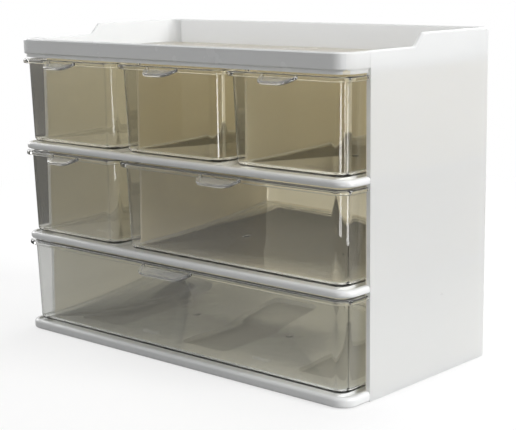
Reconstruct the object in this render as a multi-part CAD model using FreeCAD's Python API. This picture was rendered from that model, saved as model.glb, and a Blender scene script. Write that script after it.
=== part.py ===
import FreeCAD, Part
import math
import os

# Desk organizer: a white moulded cabinet with an open tray on top and six clear drawers in three rows.
# Millimetres. X runs across the width, the front looks along -Y and Z is up. The pieces are laid out
# from the cabinet's front plane (y = 0) and are moved at the end, so that the origin lies on the ground
# in the middle of the whole outline, pull tabs included.

# Cabinet
cabinet_width = 270.0
cabinet_depth = 141.0
cabinet_height = 200.5
wing_depth = 21.0
lip_corner_radius = 10.5
rear_corner_radius = 7.5
panel_thickness = 3.0
edge_bevel = 0.8

# Rails and lips of the three rows of drawers, counted up from the ground
row_count = 3
base_lip_top = 6.5
rail_height = 4.3
rail_bevel = 1.2
lip_rise = 2.1
lip_width = 3.0

# Joints between the cabinet's pieces
play = 0.1
groove_depth = 1.4
channel_rib_width = 1.6
channel_rib_height = 1.4
channel_margin = 3.0

# Tray on top
tray_floor_thickness = 3.0
tray_floor_inset = 1.6
front_rim_rise = 11.7
rear_rim_rise = 7.5
tray_band_step = 2.1
tray_band_thickness = 3.0

# Side panels: the ramp between their low and their high rim, and the return round the rear corner
ramp_start = 62.0
ramp_run = 7.5
ramp_rounding = 3.0
rear_return = 12.0
slot_width = 1.4
slot_depth = 3.0

# Back panel
ledge_width = 1.6
ledge_reach = 1.4
ledge_break = 8.0

# Base
foot_radius = 6.0
foot_proud = 0.6
foot_inset_x = 17.0
foot_inset_y = 14.0
window_width = 39.0
window_length = 90.0
window_front = 28.0
window_pitch = 95.0
window_corner_radius = 6.0
skirt_width = 3.0

# Runners, stops and dividers
runner_inset = 9.0
runner_width = 3.0
runner_rear_gap = 12.0
divider_thickness = 1.8
divider_bevel = 0.5
stop_width = 14.0
stop_length = 4.0
stop_setback = 8.0
stop_height = 1.6
stop_bevel = 1.4

# Drawers
slide_gap = 0.3
rim_gap = 1.1
side_gap = 0.35
rim_overhang = 3.25
rim_height = 2.8
rim_proud = 1.0
rim_bevel = 0.8
wing_gap = 0.7
draft = 1.4
drawer_wall = 1.8
drawer_floor = 1.8
drawer_corner_radius = 8.0
drawer_bottom_bevel = 2.0
drawer_inner_bevel = 1.2
drawer_rear_gap = 3.6
lug_thickness = 2.0
lug_clearance = 0.4
lug_setback = 5.0

# Pull tabs
tab_reach = 9.0
tab_slope = 28.0
tab_thickness = 2.2
tab_border = 1.5
tab_recess = 0.7
tab_drop = 0.6
tab_root = 0.8
tab_taper = 4.0
tab_corner_radius = 8.0
small_tab_width = 27.0
medium_tab_width = 33.0
large_tab_width = 43.0

# How much a cutting or joining solid runs past the face it meets, and when two heights count as one
overlap = 0.5
same_place = 1e-4

half_width = cabinet_width / 2
inner_half_width = half_width - panel_thickness
front_height = cabinet_height - rear_rim_rise
tray_underside = front_height - front_rim_rise
row_pitch = (tray_underside - base_lip_top + rail_height) / row_count
row_opening = row_pitch - rail_height
inside_back = cabinet_depth - panel_thickness
wing_end = wing_depth - play
plate_side = inner_half_width - play
plate_rear = inside_back - play
plate_thickness = rail_height - lip_rise
tongue_side = inner_half_width + groove_depth - play
tongue_rear = cabinet_depth - rear_corner_radius
inner_rear_radius = rear_corner_radius - panel_thickness
outline_middle = (cabinet_depth - rim_proud - tab_reach) / 2
slot_front = inside_back + (panel_thickness - slot_width) / 2
bay_width = cabinet_width / 3
upper_splits = [-bay_width / 2, bay_width / 2]
middle_splits = [-bay_width / 2]


def vector(x, y, z):
    return FreeCAD.Vector(x, y, z)


def near(a, b):
    return abs(a - b) < same_place


def lip_top(row):
    """Top of the lip that a row's drawers pass over; row 0 is the bottom one."""
    return base_lip_top + row * row_pitch


def shelf_underside(row):
    return lip_top(row) - rail_height


def shelf_top(row):
    return lip_top(row) - lip_rise


def ceiling(row):
    return lip_top(row) + row_opening


def bays(splits):
    """Left and right limit of every drawer bay in a row that is divided at the splits."""
    limits = [-half_width] + splits + [half_width]
    return list(zip(limits[:-1], limits[1:]))


def rounded_wire(corners, place):
    """Closed wire through corners (u, v, radius), with a tangent arc wherever the radius isn't zero."""
    rounds = []
    for i, (u, v, radius) in enumerate(corners):
        corner = vector(u, v, 0)
        before = vector(*corners[i - 1][:2], 0) - corner
        after = vector(*corners[(i + 1) % len(corners)][:2], 0) - corner
        before.normalize()
        after.normalize()
        half_angle = before.getAngle(after) / 2
        reach = radius / math.tan(half_angle)
        inward = before + after
        inward.normalize()
        middle = corner + inward * (radius / math.sin(half_angle) - radius)
        rounds.append((corner + before * reach, middle, corner + after * reach, radius))
    edges = []
    for i, (start, middle, end, radius) in enumerate(rounds):
        if radius > 0:
            arc_points = [place(p.x, p.y) for p in (start, middle, end)]
            edges.append(Part.Arc(*arc_points).toShape())
        following = rounds[(i + 1) % len(rounds)][0]
        if end.distanceToPoint(following) > same_place:
            edges.append(Part.makeLine(place(end.x, end.y), place(following.x, following.y)))
    return Part.Wire(edges)


def plan_wire(corners, z):
    return rounded_wire(corners, lambda x, y: vector(x, y, z))


def slab(corners, z_low, z_high):
    """Upright prism over a plan outline."""
    return Part.Face(plan_wire(corners, z_low)).extrude(vector(0, 0, z_high - z_low))


def block(x_low, x_high, y_low, y_high, z_low, z_high):
    return Part.makeBox(x_high - x_low, y_high - y_low, z_high - z_low, vector(x_low, y_low, z_low))


def rectangle(x_low, x_high, y_low, y_high, front_radius=0.0, rear_radius=0.0):
    """Plan outline with its own corner radius at the front and at the rear."""
    return [
        (x_low, y_low, front_radius),
        (x_high, y_low, front_radius),
        (x_high, y_high, rear_radius),
        (x_low, y_high, rear_radius),
    ]


def front_plan(inset, y_end):
    """The cabinet's round-cornered front in plan, drawn in by inset and ending square at y_end."""
    side = half_width - inset
    return rectangle(-side, side, inset, y_end, lip_corner_radius - inset)


def inner_plan():
    """Plan of a plate between the side panels, from inside its front part to the back panel."""
    return rectangle(-plate_side, plate_side, wing_end - overlap, plate_rear, 0, inner_rear_radius)


def bevel_edges(shape, size, wanted):
    """Bevels every edge whose middle point passes the test."""
    edges = [e for e in shape.Edges if wanted(e.valueAt((e.FirstParameter + e.LastParameter) / 2))]
    return shape.makeChamfer(size, edges)


def bevel_levels(shape, size, levels, y_end):
    """Bevels the edges that lie at the given heights, but not those of the square end at y_end."""
    return bevel_edges(shape, size, lambda p: any(near(p.z, z) for z in levels) and not near(p.y, y_end))


def lipped_plate(underside):
    """Plate with a raised lip round its front, tongued into the side panels and reaching the back."""
    top = underside + plate_thickness
    lip = underside + rail_height
    front = slab(front_plan(0, wing_end), underside, lip)
    front = bevel_levels(front, rail_bevel, [underside, lip], wing_end)
    front = front.cut(slab(front_plan(lip_width, wing_depth), top, lip + overlap))
    inner = slab(inner_plan(), underside, top)
    tongues = block(-tongue_side, tongue_side, wing_depth, tongue_rear, underside, top)
    return front.fuse([inner, tongues])


def runners(row, splits):
    """Two rails under each drawer, level with the lip."""
    rails = []
    for x_left, x_right in bays(splits):
        for x in (x_left + runner_inset, x_right - runner_inset - runner_width):
            y_low, y_high = lip_width - overlap, inside_back - runner_rear_gap
            z_low = shelf_top(row) - overlap
            rails.append(block(x, x + runner_width, y_low, y_high, z_low, lip_top(row)))
    return rails


def stop_centres(x_left, x_right):
    """One stop in the middle of a narrow bay, two in a wide one, between the base's windows."""
    middle = (x_left + x_right) / 2
    if x_right - x_left < 1.5 * bay_width:
        return [middle]
    return [middle - window_pitch / 2, middle + window_pitch / 2]


def stops(row, splits):
    """Low bars with cut-off corners that the lugs under the drawers run up against."""
    bars = []
    y_low = wing_depth + stop_setback
    z_low, z_high = shelf_top(row) - overlap, shelf_top(row) + stop_height
    for bay in bays(splits):
        for x in stop_centres(*bay):
            bar = block(x - stop_width / 2, x + stop_width / 2, y_low, y_low + stop_length, z_low, z_high)
            bars.append(bevel_edges(bar, stop_bevel, lambda p: near(p.z, (z_low + z_high) / 2)))
    return bars


def divider_channels(splits, z_low, z_high):
    """Pairs of ribs that hold the dividers' edges."""
    ribs = []
    near_side = divider_thickness / 2 + play
    for x in splits:
        for x_low in (x - near_side - channel_rib_width, x + near_side):
            y_low, y_high = wing_depth + channel_margin, inside_back - channel_margin
            ribs.append(block(x_low, x_low + channel_rib_width, y_low, y_high, z_low, z_high))
    return ribs


def shelf(row, splits_above, splits_below):
    """Shelf under a row, with channels for the dividers that stand on it and hang below it."""
    underside, top = shelf_underside(row), shelf_top(row)
    added = runners(row, splits_above) + stops(row, splits_above)
    added += divider_channels(splits_above, top - overlap, top + channel_rib_height)
    added += divider_channels(splits_below, underside - channel_rib_height, underside + overlap)
    return lipped_plate(underside).fuse(added)


def base_window(x):
    half = window_width / 2
    rear, radius = window_front + window_length, window_corner_radius
    return slab(rectangle(x - half, x + half, window_front, rear, radius, radius), 0, lip_top(0))


def base_plate():
    """Bottom of the cabinet: a lipped plate on a skirt, with three large round-cornered windows."""
    underside = shelf_underside(0)
    front_skirt = slab(front_plan(0, wing_end), foot_proud, underside + rail_height / 2)
    front_skirt = bevel_levels(front_skirt, rail_bevel, [foot_proud], wing_end)
    rear_skirt = slab(inner_plan(), foot_proud, underside + overlap)
    hollow_side = plate_side - skirt_width
    hollow_radius = lip_corner_radius - skirt_width
    hollow_plan = rectangle(
        -hollow_side, hollow_side, skirt_width, plate_rear - skirt_width, hollow_radius, inner_rear_radius
    )
    skirt = front_skirt.fuse(rear_skirt).cut(slab(hollow_plan, 0, underside))
    windows = [base_window(x) for x in (-window_pitch, 0, window_pitch)]
    return lipped_plate(underside).fuse([skirt] + runners(0, []) + stops(0, [])).cut(windows)


def feet():
    """Four soft discs stuck under the corners of the base plate, a little proud of its skirt."""
    x = half_width - foot_inset_x
    discs = {}
    for side, across in (("left", -x), ("right", x)):
        for end, along in (("front", foot_inset_y), ("rear", cabinet_depth - foot_inset_y)):
            disc = Part.makeCylinder(foot_radius, shelf_underside(0), vector(across, along, 0))
            discs[end + "_" + side + "_foot"] = disc
    return discs


def divider(x, row):
    """Upright wall between two drawers, with a bevelled front edge."""
    half = divider_thickness / 2
    wall = block(x - half, x + half, wing_depth, plate_rear, shelf_top(row) + play, ceiling(row) - play)
    return bevel_edges(wall, divider_bevel, lambda p: near(p.y, wing_depth) and near(abs(p.x - x), half))


def top_tray():
    """Open tray: a floor, and a low band that wraps the front and stands proud of the floor's edge."""
    floor_top = tray_underside + tray_floor_thickness
    band_bottom = tray_underside + tray_band_step
    front_floor = slab(front_plan(tray_floor_inset, wing_end), tray_underside, floor_top)
    inner_floor = slab(inner_plan(), tray_underside, floor_top)
    tongues = block(-tongue_side, tongue_side, wing_depth, tongue_rear, tray_underside, floor_top)
    band = slab(front_plan(0, wing_end), band_bottom, front_height)
    band = bevel_levels(band, edge_bevel, [band_bottom], wing_end)
    band = band.cut(slab(front_plan(tray_band_thickness, wing_depth), 0, front_height + overlap))
    band = bevel_levels(band, edge_bevel, [front_height], wing_end)
    channels = divider_channels(upper_splits, tray_underside - channel_rib_height, tray_underside + overlap)
    return front_floor.fuse([inner_floor, tongues, band] + channels)


def carried_plates():
    """Underside and thickness of the four plates whose tongues the side panels hold."""
    plates = [(shelf_underside(row), plate_thickness) for row in range(row_count)]
    return plates + [(tray_underside, tray_floor_thickness)]


def side_panel(side):
    """Side wall with a low front rim, a ramp up to the high rim, and a return round the rear corner."""
    outer, inner = side * half_width, side * inner_half_width
    return_end = outer - side * rear_return
    ramp_end = ramp_start + ramp_run
    outline = [
        (wing_depth, foot_proud, 0),
        (cabinet_depth, foot_proud, 0),
        (cabinet_depth, cabinet_height, 0),
        (ramp_end, cabinet_height, ramp_rounding),
        (ramp_start, front_height, ramp_rounding),
        (wing_depth, front_height, 0),
    ]
    face = Part.Face(rounded_wire(outline, lambda y, z: vector(outer, y, z)))
    silhouette = face.extrude(vector(return_end - outer, 0, 0))
    plan = [
        (outer, wing_depth, 0),
        (outer, cabinet_depth, rear_corner_radius),
        (return_end, cabinet_depth, 0),
        (return_end, inside_back, 0),
        (inner, inside_back, inner_rear_radius),
        (inner, wing_depth, 0),
    ]
    wall = slab(plan, foot_proud, cabinet_height).common(silhouette)
    wall = bevel_edges(wall, edge_bevel, lambda p: on_panel_rim(p, return_end))
    cuts = []
    x_low, x_high = sorted((inner - side * overlap, inner + side * groove_depth))
    for z_low, thickness in carried_plates():
        z_high = z_low + thickness
        cuts.append(block(x_low, x_high, 0, tongue_rear + play, z_low - play, z_high + play))
    x_low, x_high = sorted((return_end - side * overlap, return_end + side * slot_depth))
    cuts.append(block(x_low, x_high, slot_front, slot_front + slot_width, 0, cabinet_height + overlap))
    return wall.cut(cuts)


def on_panel_rim(point, return_end):
    """True on the long edges of a side panel's upper rim, but not on its square ends."""
    at_end = near(point.y, wing_depth) or near(point.x, return_end)
    return point.z > front_height - same_place and not at_end


def back_panel():
    """Rear wall that slides down between the side panels, with ledges for the shelves' rear edges."""
    edge = half_width - rear_return - play
    tongue_edge = edge + slot_depth - play
    wall = block(-edge, edge, inside_back, cabinet_depth, foot_proud, cabinet_height)
    wall = bevel_edges(wall, edge_bevel, lambda p: near(p.z, cabinet_height) and near(p.x, 0))
    tongue = block(
        -tongue_edge,
        tongue_edge,
        slot_front + play,
        slot_front + slot_width - play,
        foot_proud,
        cabinet_height - edge_bevel,
    )
    ledges = []
    for row, splits_above, splits_below in ((1, middle_splits, []), (2, upper_splits, middle_splits)):
        below = shelf_underside(row) - play - ledge_width
        above = shelf_top(row) + play
        for z_low, splits in ((below, splits_below), (above, splits_above)):
            for x_left, x_right in bays(splits):
                x_low = max(x_left, -edge) + ledge_break
                x_high = min(x_right, edge) - ledge_break
                y_low, y_high = inside_back - ledge_reach, inside_back + overlap
                ledges.append(block(x_low, x_high, y_low, y_high, z_low, z_low + ledge_width))
    return wall.fuse([tongue] + ledges)


def tub(x_left, x_right, z_low, z_high, rim_top, wall_inset, bottom_bevel):
    """Drafted solid of a drawer with round upright corners, drawn in by wall_inset."""
    draft_per_height = draft / (row_opening - rim_gap - slide_gap)
    low, high = [wall_inset + (rim_top - z) * draft_per_height for z in (z_low, z_high)]
    left, right = x_left + side_gap + rim_overhang, x_right - side_gap - rim_overhang
    front, rear = rim_overhang - rim_proud, inside_back - drawer_rear_gap
    foot = (left + low, z_low, low - rear, high - rear, left + high)
    head = (right - low, z_high, -front - low, -front - high, right - high)
    solid = Part.makeWedge(*foot, *head)
    solid.rotate(vector(0, 0, 0), vector(1, 0, 0), 90)
    uprights = [e for e in solid.Edges if not near(e.Vertexes[0].Z, e.Vertexes[1].Z)]
    solid = solid.makeFillet(drawer_corner_radius - wall_inset, uprights)
    return bevel_edges(solid, bottom_bevel, lambda p: near(p.z, z_low))


def drawer_rim(x_left, x_right, rim_top):
    """Rim that runs round the front corners and ends square ahead of the cabinet's side."""
    y_end = wing_depth - wing_gap
    left, right = x_left + side_gap, x_right - side_gap
    plan = rectangle(left, right, -rim_proud, y_end, lip_corner_radius - side_gap)
    rim = slab(plan, rim_top - rim_height, rim_top)
    return bevel_levels(rim, rim_bevel, [rim_top - rim_height, rim_top], y_end)


def tongue(width, length, thickness):
    """Flat tongue ahead of y = 0 with a full round front, from z = 0 down, and a root behind it."""
    root, front = width / 2, width / 2 - tab_taper
    corners = [
        (-root, tab_root, 0),
        (-root, 0, 0),
        (-front, -length, tab_corner_radius),
        (front, -length, tab_corner_radius),
        (root, 0, 0),
        (root, tab_root, 0),
    ]
    return slab(corners, -thickness, 0)


def pull_tab(x, rim_top, width):
    """Tongue that slopes down from the rim, with a raised border round its finger hollow."""
    length = tab_reach / math.cos(math.radians(tab_slope))
    hollow = tongue(width - 2 * tab_border, length - tab_border, tab_recess)
    tab = tongue(width, length, tab_thickness).cut(hollow)
    tab.rotate(vector(0, 0, 0), vector(1, 0, 0), tab_slope)
    tab.translate(vector(x, -rim_proud, rim_top - tab_drop))
    return tab


def drawer(bay, row, tab_width):
    """Clear drawer: a drafted tub with a rim round its front, a pull tab and lugs under its rear."""
    x_left, x_right = bay
    bottom = lip_top(row) + slide_gap
    floor = bottom + drawer_floor
    rim_top = ceiling(row) - rim_gap
    shell = tub(x_left, x_right, bottom, rim_top, rim_top, 0, drawer_bottom_bevel)
    cavity = tub(x_left, x_right, floor, rim_top + overlap, rim_top, drawer_wall, drawer_inner_bevel)
    rim = drawer_rim(x_left, x_right, rim_top)
    tab = pull_tab((x_left + x_right) / 2, rim_top, tab_width)
    lugs = []
    lug_rear = inside_back - drawer_rear_gap - draft - lug_setback
    for x in stop_centres(x_left, x_right):
        sides = (x - stop_width / 2, x + stop_width / 2)
        heights = (shelf_top(row) + lug_clearance, bottom + drawer_floor / 2)
        lugs.append(block(*sides, lug_rear - lug_thickness, lug_rear, *heights))
    return shell.fuse([rim, tab] + lugs).cut(cavity)


def organizer():
    """Every piece by its name."""
    top_left, top_middle, top_right = bays(upper_splits)
    middle_left, middle_right = bays(middle_splits)
    (bottom,) = bays([])
    return {
        "left_side_panel": side_panel(-1),
        "right_side_panel": side_panel(1),
        "back_panel": back_panel(),
        "base_plate": base_plate(),
        "lower_shelf": shelf(1, middle_splits, []),
        "upper_shelf": shelf(2, upper_splits, middle_splits),
        "top_tray": top_tray(),
        "middle_divider": divider(middle_splits[0], 1),
        "left_upper_divider": divider(upper_splits[0], 2),
        "right_upper_divider": divider(upper_splits[1], 2),
        **feet(),
        "top_left_drawer": drawer(top_left, 2, small_tab_width),
        "top_middle_drawer": drawer(top_middle, 2, small_tab_width),
        "top_right_drawer": drawer(top_right, 2, small_tab_width),
        "middle_left_drawer": drawer(middle_left, 1, small_tab_width),
        "middle_right_drawer": drawer(middle_right, 1, medium_tab_width),
        "bottom_drawer": drawer(bottom, 0, large_tab_width),
    }


os.makedirs("parts", exist_ok=True)
for name, shape in organizer().items():
    shape = shape.removeSplitter()
    shape.translate(vector(0, -outline_middle, 0))
    shape.exportStep("parts/" + name + ".step")
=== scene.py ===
import math

import bpy
from mathutils import Matrix, Vector


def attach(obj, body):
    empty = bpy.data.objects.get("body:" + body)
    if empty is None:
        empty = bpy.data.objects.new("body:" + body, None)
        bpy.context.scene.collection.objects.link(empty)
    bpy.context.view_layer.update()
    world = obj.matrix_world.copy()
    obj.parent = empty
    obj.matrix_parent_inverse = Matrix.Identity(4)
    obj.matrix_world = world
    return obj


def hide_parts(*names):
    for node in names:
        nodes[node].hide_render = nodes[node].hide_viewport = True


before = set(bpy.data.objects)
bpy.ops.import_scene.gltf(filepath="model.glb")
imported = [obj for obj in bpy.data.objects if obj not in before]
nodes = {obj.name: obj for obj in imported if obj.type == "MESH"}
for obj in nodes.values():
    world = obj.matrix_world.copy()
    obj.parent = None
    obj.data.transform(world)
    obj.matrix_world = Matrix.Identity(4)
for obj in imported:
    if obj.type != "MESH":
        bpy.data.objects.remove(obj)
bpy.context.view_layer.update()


# Side panels: the two white walls that carry everything else, injection moulded in glossy styrene
# plastic with grooves on their inner faces. They are the left and right ends of the cabinet and turn
# round the rear corners, where the back panel slides in.
MM = 0.001
BAND_INSIDE = -0.0620
TRAY_FLOOR = 0.1840


class Shade:
    """One output of a material's node; sums and products of it add Math nodes."""

    def __init__(self, tree, socket=None):
        self.tree, self.socket = tree, socket

    def node(self, kind, settings, sockets, output=0):
        made = self.tree.nodes.new(kind)
        for name, value in settings.items():
            if name == "stops":
                ramp = made.color_ramp
                for stop, (place, colour) in zip([ramp.elements[0], ramp.elements[-1]], (value[0], value[-1])):
                    stop.position, stop.color = place, (*colour, 1)
                for place, colour in value[1:-1]:
                    ramp.elements.new(place).color = (*colour, 1)
            else:
                setattr(made, name, value)
        for name, value in sockets.items():
            if isinstance(value, Shade):
                self.tree.links.new(value.socket, made.inputs[name])
            elif made.inputs[name].type == "RGBA":
                made.inputs[name].default_value = (*value, 1)
            else:
                made.inputs[name].default_value = value
        return Shade(self.tree, made.outputs[output] if made.outputs else None)

    def maths(self, operation, *values):
        return self.node("ShaderNodeMath", {"operation": operation}, dict(enumerate(values)))

    def above(self, edge):
        return self.maths("GREATER_THAN", self, edge)

    def below(self, edge):
        return self.maths("LESS_THAN", self, edge)

    def __add__(self, other):
        return self.maths("ADD", self, other)

    def __radd__(self, other):
        return self.maths("ADD", other, self)

    def __sub__(self, other):
        return self.maths("SUBTRACT", self, other)

    def __rsub__(self, other):
        return self.maths("SUBTRACT", other, self)

    def __mul__(self, other):
        return self.maths("MULTIPLY", self, other)

    def __rmul__(self, other):
        return self.maths("MULTIPLY", other, self)


def new_finish(name):
    """An empty material and a Shade to start its nodes from."""
    material = bpy.data.materials.new(name)
    material.use_nodes = True
    material.node_tree.nodes.clear()
    return material, Shade(material.node_tree)


def blend_colours(start, factor, first, second):
    colours = {"Factor": factor, 6: first, 7: second}
    return start.node("ShaderNodeMix", {"data_type": "RGBA"}, colours, 2)


def noise(start, scale, detail):
    """Noise fixed to the piece; scale is in features per metre."""
    place = start.node("ShaderNodeTexCoord", {}, {}, 3)
    return start.node("ShaderNodeTexNoise", {}, {"Vector": place, "Scale": scale, "Detail": detail})


def white_moulding(name, light, dark, roughness, share):
    """Glossy white plastic: faint cloudiness, flow waves from the mould, and a slightly uneven polish."""
    material, start = new_finish(name)
    clouds = noise(start, 11, 2)
    polish = noise(start, 60, 4)
    waves = noise(start, 22, 1)
    grain = noise(start, 900, 2)
    height = waves * 0.00008 + grain * 0.0000025
    surface = start.node(
        "ShaderNodeBsdfPrincipled",
        {},
        {
            "Base Color": blend_colours(start, clouds, dark, light),
            "Roughness": roughness - 0.06 + polish * 0.12,
            "IOR": 1.55,
            "Normal": start.node("ShaderNodeBump", {}, {"Strength": 0.6, "Distance": 1.0, "Height": height}),
        },
    )
    place = start.node("ShaderNodeTexCoord", {}, {}, 3)
    x, y, z = (start.node("ShaderNodeSeparateXYZ", {}, {0: place}, axis) for axis in "XYZ")
    inside = x.maths("ABSOLUTE", x).below(0.1325) * y.below(0.0730)
    behind = y.above(BAND_INSIDE)
    bays = inside * behind * z.below(TRAY_FLOOR)
    outer_glow = start.node("ShaderNodeBsdfTranslucent", {}, {"Color": (0.97, 0.97, 0.97)})
    inner_glow = start.node("ShaderNodeBsdfTranslucent", {}, {"Color": (0.98, 0.89, 0.66)})
    glow = start.node("ShaderNodeMixShader", {}, {0: bays, 1: outer_glow, 2: inner_glow})
    surface = start.node("ShaderNodeMixShader", {}, {0: 0.1 + behind * (share - 0.1), 1: surface, 2: glow})
    start.node("ShaderNodeOutputMaterial", {}, {"Surface": surface})
    return material


def dress(name, material, rounding_width=0.35):
    """Gives a CAD piece its finish and the small roundings of a moulding."""
    piece = nodes[name]
    piece.data.materials.clear()
    piece.data.materials.append(material)
    weld = piece.modifiers.new("weld", "WELD")
    weld.merge_threshold = 0.005 * MM
    flat = piece.modifiers.new("flat", "DECIMATE")
    flat.decimate_type, flat.angle_limit = "DISSOLVE", math.radians(0.5)
    bevel = piece.modifiers.new("rounding", "BEVEL")
    bevel.width, bevel.segments = rounding_width * MM, 3
    bevel.limit_method, bevel.angle_limit = "ANGLE", math.radians(35)
    normals = piece.modifiers.new("normals", "WEIGHTED_NORMAL")
    normals.weight, normals.keep_sharp = 80, False


panel_white = white_moulding("panel_white", (0.925, 0.935, 0.935), (0.905, 0.915, 0.915), 0.3, 0.4)
for name in ("left_side_panel", "right_side_panel"):
    dress(name, panel_white)


# Back panel: the rear wall, slid down into slots in the side panels' returns.
back_white = white_moulding("back_white", (0.925, 0.935, 0.935), (0.905, 0.915, 0.915), 0.36, 0.56)
dress("back_panel", back_white)


# Base plate and the two shelves: ribbed plates whose raised front lips show as round-edged white rails
# between the rows. Their side tongues sit in the panels' grooves, their rear edges lie between the back
# panel's ledges, and each carries runners for the drawers, stops and channels for the dividers.
FRONT = -65.5


def outline(corners, inset=0.0, steps=8):
    """Points counterclockwise round a convex outline of (x, y, radius) corners drawn in by inset."""
    points = []
    for i, (x, y, radius) in enumerate(corners):
        corner = Vector((x, y))
        before = (corner - Vector(corners[i - 1][:2])).normalized()
        after = (Vector(corners[(i + 1) % len(corners)][:2]) - corner).normalized()
        inward = [Vector((-d.y, d.x)) for d in (before, after)]
        diagonal = (inward[0] + inward[1]) / (1 + inward[0].dot(inward[1]))
        radius = max(radius - inset, 0.05)
        centre = corner + diagonal * (inset + radius)
        turn = math.acos(max(-1, min(1, before.dot(after))))
        for k in range(steps + 1):
            points.append(centre - Matrix.Rotation(turn * k / steps, 2) @ inward[0] * radius)
    return points


def loft(name, rings):
    """Closed mesh through rings of (outline points, height), in millimetres."""
    count = len(rings[0][0])
    points = [Vector((p.x, p.y, z)) * MM for ring, z in rings for p in ring]
    faces = [tuple(reversed(range(count))), tuple(range(len(points) - count, len(points)))]
    for level in range(len(rings) - 1):
        for i in range(count):
            j = (i + 1) % count
            low, high = level * count, (level + 1) * count
            faces.append((low + i, low + j, high + j, high + i))
    mesh = bpy.data.meshes.new(name)
    mesh.from_pydata(points, [], faces)
    mesh.update()
    return bpy.data.objects.new(name, mesh)


def rounding(radius, steps=5):
    """(inset, rise) pairs of a quarter round, from its flat side to its upright side."""
    turns = [math.pi / 2 * k / steps for k in range(steps + 1)]
    return [(radius * (1 - math.sin(t)), radius * (1 - math.cos(t))) for t in turns]


def joined(base, tools, name):
    """Adds or cuts the tools, in order, and returns the resulting piece."""
    scene = bpy.context.scene.collection
    for part in [base] + [tool for tool, _ in tools]:
        scene.objects.link(part)
    for tool, operation in tools:
        step = base.modifiers.new(operation.lower(), "BOOLEAN")
        step.object, step.operation, step.solver = tool, operation, "EXACT"
    seen = bpy.context.evaluated_depsgraph_get()
    mesh = bpy.data.meshes.new_from_object(base.evaluated_get(seen))
    for part in [base] + [tool for tool, _ in tools]:
        bpy.data.objects.remove(part)
    mesh.shade_smooth()
    mesh.set_sharp_from_angle(angle=math.radians(38))
    piece = bpy.data.objects.new(name, mesh)
    scene.objects.link(piece)
    return piece


def box_corners(left, right, front, rear, front_radius, rear_radius):
    return [
        (left, front, front_radius),
        (right, front, front_radius),
        (right, rear, rear_radius),
        (left, rear, rear_radius),
    ]


def reversed_round(radius, steps=4):
    """(inset, rise) pairs of a quarter round, from its upright side to its flat side."""
    turns = [math.pi / 2 * k / steps for k in range(steps + 1)]
    return [(radius * (1 - math.cos(t)), radius * math.sin(t)) for t in turns]


LIP_TOPS = (6.5, 66.2, 125.9)
BAY = 90.0
WING_END = FRONT + 20.9
shelf_white = white_moulding("shelf_white", (0.925, 0.935, 0.935), (0.905, 0.915, 0.915), 0.24, 0.1)


def prism(name, left, right, front, rear, low, high, corner=0.3):
    """Upright block with lightly rounded corners and edges."""
    corners = box_corners(left, right, front, rear, corner, corner)
    edge = 0.25
    return loft(name, [(outline(corners, edge, 3), low), (outline(corners, 0, 3), low + edge),
                       (outline(corners, 0, 3), high - edge), (outline(corners, edge, 3), high)])


def front_lip(name, low, high, lower_round, upper_round):
    """Front part of a plate, rounded along its lower and upper edge and cut off square behind."""
    corners = box_corners(-135, 135, FRONT, FRONT + 26, 10.5, 0.3)
    levels = [(inset, low + rise) for inset, rise in rounding(lower_round, 6)]
    levels += [(inset, high - upper_round + rise) for inset, rise in reversed_round(upper_round, 6)]
    return loft(name, [(outline(corners, inset, 10), z) for inset, z in levels])


def shelf_plate(node, row, splits_above, splits_below):
    """A shelf with its rails, stops and ribs, in the place of its CAD piece."""
    lip = LIP_TOPS[row]
    top, underside = lip - 2.1, lip - 4.3
    low = 0.6 if row == 0 else underside
    pocket = box_corners(-132, 132, FRONT + 3, FRONT + 40, 7.5, 0.3)
    tools = [
        (prism("end", -140, 140, WING_END, FRONT + 60, low - 5, lip + 5), "DIFFERENCE"),
        (loft("pocket", [(outline(pocket, 0, 10), top), (outline(pocket, 0, 10), lip + 1)]), "DIFFERENCE"),
        (loft("plate", [(outline(box_corners(-131.9, 131.9, WING_END - 0.5, 72.4, 0.1, 4.5)), z)
                        for z in (underside, top)]), "UNION"),
        (prism("tongues", -133.3, 133.3, WING_END + 0.1, 68, underside, top), "UNION"),
    ]
    if row == 0:
        hollow = box_corners(-128.9, 128.9, FRONT + 3, 69.4, 7.5, 4.5)
        tools.append((loft("skirt", [(outline(box_corners(-131.9, 131.9, WING_END - 0.5, 72.4, 0.1, 4.5)), z)
                                     for z in (0.6, underside + 0.5)]), "UNION"))
        tools.append((loft("hollow", [(outline(hollow), z) for z in (0, underside)]), "DIFFERENCE"))
    bays = list(zip([-135.0] + splits_above, splits_above + [135.0]))
    for left, right in bays:
        for x in (left + 9, right - 12):
            tools.append((prism("runner", x, x + 3, FRONT + 2.5, FRONT + 126, top - 0.5, lip), "UNION"))
        middle = (left + right) / 2
        for x in [middle] if right - left < 1.5 * BAY else [middle - 47.5, middle + 47.5]:
            tools.append((prism("stop", x - 7, x + 7, FRONT + 29, FRONT + 33, top - 0.5, top + 1.6, 1.4), "UNION"))
    for splits, z_low, z_high in (
        (splits_above, top - 0.5, top + 1.4),
        (splits_below, underside - 1.4, underside + 0.5),
    ):
        for x in splits:
            for rib in (x - 2.6, x + 1.0):
                tools.append((prism("rib", rib, rib + 1.6, FRONT + 24, FRONT + 135, z_low, z_high), "UNION"))
    if row == 0:
        for x in (-95, 0, 95):
            window = box_corners(x - 19.5, x + 19.5, FRONT + 28, FRONT + 118, 6, 6)
            tools.append((loft("window", [(outline(window, 0, 10), z) for z in (0, lip + 1)]), "DIFFERENCE"))
    piece = joined(front_lip("lip", low, lip, 1.6, 2.0), tools, node + "_moulding")
    piece.data.materials.clear()
    piece.data.materials.append(shelf_white)
    for polygon in piece.data.polygons:
        polygon.material_index = 0
    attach(piece, "cabinet")
    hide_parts(node)


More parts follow.
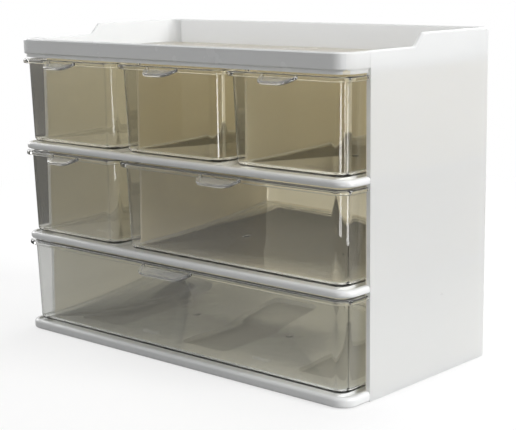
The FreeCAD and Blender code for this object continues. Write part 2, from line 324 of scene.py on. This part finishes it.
shelf_plate("base_plate", 0, [], [])
shelf_plate("lower_shelf", 1, [-BAY / 2], [])
shelf_plate("upper_shelf", 2, [-BAY / 2, BAY / 2], [-BAY / 2])


# Dividers: thin white walls between the small drawers, held in channels of the plates.
divider_white = white_moulding("divider_white", (0.925, 0.935, 0.935), (0.905, 0.915, 0.915), 0.36, 0.5)
for name in ("middle_divider", "left_upper_divider", "right_upper_divider"):
    dress(name, divider_white)


# Top tray: the open shelf on top, with a low band round its front that meets the side panels' rims.
tray_white = white_moulding("tray_white", (0.925, 0.935, 0.935), (0.905, 0.915, 0.915), 0.26, 0.6)
dress("top_tray", tray_white)


# Feet: four soft grey pads stuck under the base.
foot_grey, start = new_finish("foot_grey")
speckle = noise(start, 700, 3)
surface = start.node(
    "ShaderNodeBsdfPrincipled",
    {},
    {
        "Base Color": blend_colours(start, speckle, (0.06, 0.06, 0.06), (0.12, 0.12, 0.12)),
        "Roughness": 0.7 + speckle * 0.2,
        "Normal": start.node("ShaderNodeBump", {}, {"Strength": 0.5, "Distance": 0.0002, "Height": speckle}),
    },
)
start.node("ShaderNodeOutputMaterial", {}, {"Surface": surface})
for name in ("front_left_foot", "rear_left_foot", "front_right_foot", "rear_right_foot"):
    nodes[name].data.materials.clear()
    nodes[name].data.materials.append(foot_grey)


# Drawers: clear styrene tubs, each moulded in one with the rim that wraps its front and the sloping
# pull tab. Walls are 1.8 mm and drafted, the lower edge is thick and round, and low lugs under the
# rear run up against the shelf's stops.
RIM_RISE = 54.3
RIM_HEIGHT = 2.8
BAY_GAP = 3.6
DRAFT_PER_MM = 1.4 / 54.0


def tub(name, bay, floor, rim_top, wall, bottom_round, flare):
    """Drafted tub drawn in by wall; a flare widens its mouth, as on the inside of the drawer."""

    def ring(z, inset):
        drawn = BAY_GAP + wall + (rim_top - z) * DRAFT_PER_MM
        front, rear = FRONT + 2.25 - BAY_GAP + drawn, FRONT + 134.4 + BAY_GAP - drawn
        corners = box_corners(bay[0] + drawn, bay[1] - drawn, front, rear, 8 - 2 * wall, 8 - 2 * wall)
        return outline(corners, inset), z

    rings = [ring(floor + rise, inset) for inset, rise in rounding(bottom_round)]
    if flare:
        rings += [ring(rim_top - flare + rise, -inset) for inset, rise in reversed_round(flare)]
        rings.append(ring(rim_top + 1, -flare))
    else:
        rings.append(ring(rim_top, 0))
    return loft(name, rings)


def pull_tab(middle, rim_top, width):
    """Sloping tongue with a raised border, and the cutter of its finger hollow."""
    slope = math.radians(20)
    length = 9 / math.cos(slope)

    def tongue(name, half, reach, root, levels):
        corners = [(-half + 4, -reach, 8), (half - 4, -reach, 8), (half, root, 0.1), (-half, root, 0.1)]
        return loft(name, [(outline(corners, inset), z) for inset, z in levels])

    body_levels = [(inset, -1.8 + rise) for inset, rise in rounding(0.7)]
    body_levels += [(inset, -0.6 + rise) for inset, rise in reversed_round(0.6)]
    hollow_levels = [(inset, -0.9 + rise) for inset, rise in rounding(0.6)] + [(-0.3, 0.3)]
    body = tongue("tongue", width / 2, length, 0.8, body_levels)
    hollow = tongue("hollow", width / 2 - 1.4, length - 1.4, 2.5, hollow_levels)
    place = Matrix.Translation(Vector((middle, FRONT - 1, rim_top - 0.6)) * MM) @ Matrix.Rotation(slope, 4, "X")
    for part in (body, hollow):
        part.data.transform(place)
    return body, hollow


def clear_drawer(name, bay, row, tab_width, material):
    """One drawer, built where its CAD piece stands."""
    lip = LIP_TOPS[row]
    bottom, rim_top = lip + 0.3, lip + RIM_RISE
    left, right = bay
    middle = (left + right) / 2
    shell = tub("shell", bay, bottom, rim_top, 0, 3.0, 0)
    cavity = tub("cavity", bay, bottom + 1.8, rim_top, 1.8, 1.8, 0.5)
    rim_corners = box_corners(left + 0.35, right - 0.35, FRONT - 1, FRONT + 20.3, 10.15, 0.5)
    levels = [(inset, rim_top - RIM_HEIGHT + rise) for inset, rise in rounding(0.9)]
    levels += [(inset, rim_top - 0.9 + rise) for inset, rise in reversed_round(0.9)]
    rim = loft("rim", [(outline(rim_corners, inset), z) for inset, z in levels])
    body, hollow = pull_tab(middle, rim_top, tab_width)
    tools = [(hollow, "DIFFERENCE")]
    tab = joined(body, tools, "tab")
    bpy.context.scene.collection.objects.unlink(tab)
    additions = [(rim, "UNION"), (tab, "UNION")]
    stop_places = [middle] if right - left < 135 else [middle - 47.5, middle + 47.5]
    for x in stop_places:
        corners = box_corners(x - 7, x + 7, FRONT + 126, FRONT + 128, 0.3, 0.3)
        lug = loft("lug", [(outline(corners, 0, 2), lip - 1.7), (outline(corners, 0, 2), bottom + 0.9)])
        additions.append((lug, "UNION"))
    cuts = [(cavity, "DIFFERENCE")]
    for x in ([middle] if len(stop_places) == 1 else [middle - 40, middle + 40]):
        mark = box_corners(x - 2.4, x + 2.4, FRONT + 62, FRONT + 66.8, 2.4, 2.4)
        cuts.append((loft("mark", [(outline(mark), bottom + 1.2), (outline(mark), bottom + 2.15)]), "UNION"))
    piece = joined(shell, additions + cuts, name)
    piece.data.materials.clear()
    piece.data.materials.append(material)
    for polygon in piece.data.polygons:
        polygon.material_index = 0
    return piece


def clear_styrene(name, tint):
    """Clear moulded plastic that lets lamps through, with painted dark reflections where it curves away from view,
    frosted on the tab.
    """
    material, start = new_finish(name)
    waves = noise(start, 45, 2)
    smears = noise(start, 130, 3)
    # Painted reflection: where an upright surface is seen edge-on, its colour is pulled towards near black,
    # standing in for the dark reflections and refractions in the drawers' curved corners.
    split = start.tree.nodes.new("ShaderNodeSeparateXYZ")
    start.tree.links.new(start.node("ShaderNodeNewGeometry", {}, {}, 1).socket, split.inputs[0])
    upright = 1 - split_axis(start, split, "Z").maths("ABSOLUTE", split_axis(start, split, "Z"))
    upright = upright * upright * upright
    turned = start.node("ShaderNodeLayerWeight", {}, {"Blend": 0.5}, 1)
    edge = turned.maths("POWER", turned, 3.0) * upright * 0.95
    body = blend_colours(start, smears, tint, [min(1, c * 1.02) for c in tint])
    glass = start.node(
        "ShaderNodeBsdfPrincipled",
        {},
        {
            # Base colour carrying the painted dark reflection at edge-on corners.
            "Base Color": blend_colours(start, edge, body, (0.03, 0.035, 0.05)),
            "Roughness": 0.015 + smears * 0.03,
            "IOR": 1.56,
            "Transmission Weight": 1.0,
            "Normal": start.node("ShaderNodeBump", {}, {"Strength": 0.3, "Distance": 0.0002, "Height": waves}),
        },
    )
    ribs = start.node("ShaderNodeTexWave", {"bands_direction": "Y"}, {"Scale": 260.0, "Distortion": 0.0}, 1)
    frost = start.node(
        "ShaderNodeBsdfPrincipled",
        {},
        {
            "Base Color": (0.86, 0.86, 0.84),
            "Roughness": 0.3 + ribs * 0.1,
            "IOR": 1.56,
            "Normal": start.node("ShaderNodeBump", {}, {"Strength": 0.5, "Distance": 0.0003, "Height": ribs}),
        },
    )
    place = start.tree.nodes.new("ShaderNodeSeparateXYZ")
    start.tree.links.new(start.node("ShaderNodeTexCoord", {}, {}, 3).socket, place.inputs[0])
    tab = split_axis(start, place, "Y").below((FRONT - 1.6) * MM)
    plastic = start.node("ShaderNodeMixShader", {}, {0: tab * 0.14, 1: glass, 2: frost})
    clear = start.node("ShaderNodeBsdfTransparent", {}, {"Color": [0.6 + 0.4 * c for c in tint]})
    path = start.tree.nodes.new("ShaderNodeLightPath")
    shadow, diffuse = (Shade(start.tree, path.outputs[name]) for name in ("Is Shadow Ray", "Is Diffuse Ray"))
    passing = shadow.maths("MAXIMUM", shadow, diffuse)
    surface = start.node("ShaderNodeMixShader", {}, {0: passing, 1: plastic, 2: clear})
    start.node("ShaderNodeOutputMaterial", {}, {"Surface": surface})
    return material


def split_axis(start, split, axis):
    return Shade(start.tree, split.outputs[axis])


upper_clear = clear_styrene("upper_clear", (0.985, 0.975, 0.935))
drawers = {
    "top_left_drawer": ((-135, -45), 2, 27),
    "top_middle_drawer": ((-45, 45), 2, 27),
    "top_right_drawer": ((45, 135), 2, 27),
    "middle_left_drawer": ((-135, -45), 1, 27),
    "middle_right_drawer": ((-45, 135), 1, 33),
    "bottom_drawer": ((-135, 135), 0, 43),
}
lower_clear = clear_styrene("lower_clear", (0.975, 0.98, 0.965))
for name, (bay, row, tab_width) in drawers.items():
    clear = upper_clear if row else lower_clear
    piece = clear_drawer(name + "_clear", bay, row, tab_width, clear)
    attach(piece, name + "_body")
    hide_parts(name)


# Stage: a pale floor that the camera sees as white paper, an even sky, one large soft lamp to the
# right of the cabinet and a weaker one above it.
floor_paper, start = new_finish("floor_paper")


def seen_directly(start, share=1.0):
    """1 for rays from the camera, share for those that gloss or clear plastic sends on, 0 for light."""
    camera, glossy, through, scattered = (
        start.node("ShaderNodeLightPath", {}, {}, kind)
        for kind in ("Is Camera Ray", "Is Glossy Ray", "Is Transmission Ray", "Is Diffuse Ray")
    )
    sent_on = glossy.maths("MAXIMUM", glossy, through * (1 - scattered))
    return camera.maths("MAXIMUM", camera, sent_on * share)


place = start.node("ShaderNodeTexCoord", {}, {}, 3)
away = start.node("ShaderNodeVectorMath", {"operation": "LENGTH"}, {0: place}, 1)
near = start.node(
    "ShaderNodeMapRange",
    {"interpolation_type": "SMOOTHSTEP"},
    {"Value": away, "From Min": 0.2, "From Max": 0.7, "To Min": 1.0, "To Max": 0.0},
)
sheet = start.node(
    "ShaderNodeMapRange",
    {"interpolation_type": "SMOOTHSTEP"},
    {"Value": away, "From Min": 0.22, "From Max": 0.45, "To Min": 1.0, "To Max": 0.0},
)
beyond = start.node(
    "ShaderNodeMapRange",
    {"interpolation_type": "SMOOTHSTEP"},
    {"Value": away, "From Min": 0.8, "From Max": 3.0, "To Min": 0.0, "To Max": 1.0},
)
across, along = (start.node("ShaderNodeSeparateXYZ", {}, {0: place}, axis) for axis in "XY")
# Painted shadow: inside the cabinet's footprint the paper's colour is darkened, and the white seen by direct rays
# is left out there.
painted_shadow_footprint = across.maths("ABSOLUTE", across).below(0.13) * along.maths("ABSOLUTE", along).below(0.06)
paper = start.node(
    "ShaderNodeBsdfDiffuse",
    {},
    {"Color": blend_colours(start, sheet - painted_shadow_footprint * 0.8, (0.1, 0.1, 0.1), (0.42, 0.42, 0.42))},
)
seen_paper = start.node("ShaderNodeBsdfDiffuse", {}, {"Color": (0.95, 0.95, 0.95)})
white = start.node("ShaderNodeEmission", {}, {"Color": (1, 1, 1), "Strength": 1.0})
seen = start.node("ShaderNodeMixShader", {}, {0: (1 - near * 0.3) * (1 - painted_shadow_footprint), 1: seen_paper, 2: white})
surface = start.node("ShaderNodeMixShader", {}, {0: seen_directly(start, beyond + sheet * 0.3), 1: paper, 2: seen})
start.node("ShaderNodeOutputMaterial", {}, {"Surface": surface})
bpy.ops.mesh.primitive_plane_add(size=60, location=(0, 0, 0))
floor = bpy.context.object
floor.name = "floor"
floor.data.materials.append(floor_paper)

world = bpy.data.worlds.new("sky")
bpy.context.scene.world = world
world.use_nodes = True
world.node_tree.nodes.clear()
start = Shade(world.node_tree)
sky = start.node("ShaderNodeBackground", {}, {"Color": (1, 1, 1), "Strength": 0.28})
white = start.node("ShaderNodeBackground", {}, {"Color": (1, 1, 1), "Strength": 1.0})
surface = start.node("ShaderNodeMixShader", {}, {0: seen_directly(start), 1: sky, 2: white})
start.node("ShaderNodeOutputWorld", {}, {"Surface": surface})


def soft_lamp(name, place, aim, size, power, colour):
    lamp = bpy.data.lights.new(name, "AREA")
    lamp.shape, lamp.size, lamp.energy, lamp.color = "SQUARE", size, power, colour
    stand = bpy.data.objects.new(name, lamp)
    stand.location = place
    stand.rotation_euler = (Vector(aim) - Vector(place)).to_track_quat("-Z", "Y").to_euler()
    bpy.context.scene.collection.objects.link(stand)


soft_lamp("side_lamp", (2.2, 0.35, 1.1), (0, 0, 0.1), 1.2, 53, (1.0, 1.0, 1.0))
soft_lamp("top_lamp", (0.2, 0.3, 2.2), (0, 0, 0.1), 1.0, 7, (1.0, 1.0, 1.0))
soft_lamp("front_lamp", (-0.3, -1.8, 1.5), (0, 0, 0.1), 1.2, 6, (1.0, 1.0, 1.0))
soft_lamp("back_lamp", (-0.4, 2.0, 0.9), (0, 0, 0.1), 1.2, 28, (1.0, 1.0, 1.0))
soft_lamp("left_lamp", (-2.0, 0.2, 0.9), (0, 0, 0.1), 1.2, 16, (1.0, 1.0, 1.0))


def floor_strip(name, bearing, power):
    """Narrow lamp lying on the floor, pointing away from the front right corner, for lines in the plastic."""
    lamp = bpy.data.lights.new(name, "AREA")
    lamp.shape, lamp.size, lamp.size_y, lamp.energy = "RECTANGLE", 0.1, 0.9, power
    stand = bpy.data.objects.new(name, lamp)
    away = Vector((math.cos(math.radians(bearing)), math.sin(math.radians(bearing)), 0))
    side = Vector((-away.y, away.x, 0))
    stand.matrix_world = Matrix.Translation(Vector((0.1, -0.06, 0.01)) + away * 0.7) @ Matrix(
        (-side, -away, (0, 0, -1))
    ).transposed().to_4x4()
    stand.visible_camera = False
    stand.visible_diffuse = False
    bpy.context.scene.collection.objects.link(stand)


floor_strip("right_strip", 6, 2.4)
floor_strip("front_strip", -50, 2.0)


# Camera: to the right of the front and a little above, as the photograph was taken.
azimuth, elevation, roll = math.radians(41.849), math.radians(9.864), math.radians(-0.682)
back = Vector(
    (math.sin(azimuth) * math.cos(elevation), -math.cos(azimuth) * math.cos(elevation), math.sin(elevation))
)
aside = (-back).cross(Vector((0, 0, 1))).normalized()
upward = aside.cross(-back)
turned_aside = math.cos(roll) * aside + math.sin(roll) * upward
turned_up = -math.sin(roll) * aside + math.cos(roll) * upward
lens = bpy.data.cameras.new("camera")
lens.sensor_width, lens.lens = 36, 1319.09 / 516 * 36
lens.shift_y = -20 / 516
camera = bpy.data.objects.new("camera", lens)
aim = Vector((12.64, 67.5 + FRONT, 96.63)) * MM
camera.matrix_world = Matrix.Translation(aim + back * 0.8232) @ Matrix(
    (turned_aside, turned_up, back)
).transposed().to_4x4()
bpy.context.scene.collection.objects.link(camera)
bpy.context.scene.camera = camera
bpy.context.scene.view_settings.view_transform = "Standard"
